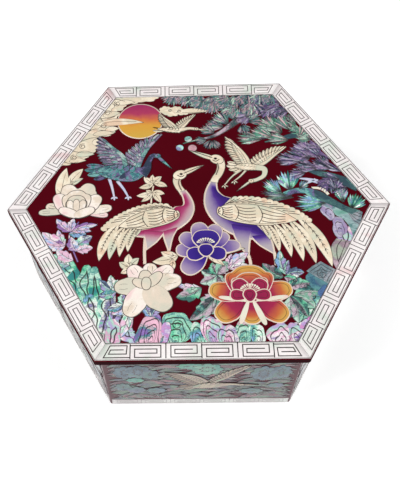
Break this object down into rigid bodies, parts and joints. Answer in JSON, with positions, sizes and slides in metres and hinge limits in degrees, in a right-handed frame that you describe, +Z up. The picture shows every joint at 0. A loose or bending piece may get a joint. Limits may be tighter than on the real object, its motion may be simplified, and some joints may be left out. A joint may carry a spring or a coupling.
{
  "type": "hexagonal lidded box",
  "caption": "Low six-sided lacquered box with a lift-off lid whose flat top overhangs the walls; holds small keepsakes or jewellery.",
  "frame": {"origin": "middle of the underside, where the box stands", "axes": "+Z up; the front flat side faces -Y; two corners of the hexagon lie on the X axis"},
  "size_m": [0.2304, 0.2, 0.076],
  "materials": {
    "walls": "gloss dark red lacquer over board, inlaid with shell",
    "base": "satin dark red lacquer",
    "lid": "gloss dark red lacquer over board, inlaid with shell",
    "rim": "satin dark red lacquer",
    "pale_shell": "pale mother of pearl under clear lacquer",
    "blue_shell": "blue-green abalone shell under clear lacquer",
    "tinted_shell": "shell tinted in shaded colours under clear lacquer"
  },
  "bodies": {
    "root": {"body_walls": "walls", "base_board": "base", "lid": "lid", "lid_rim": "rim"}
  },
  "joints": []
}
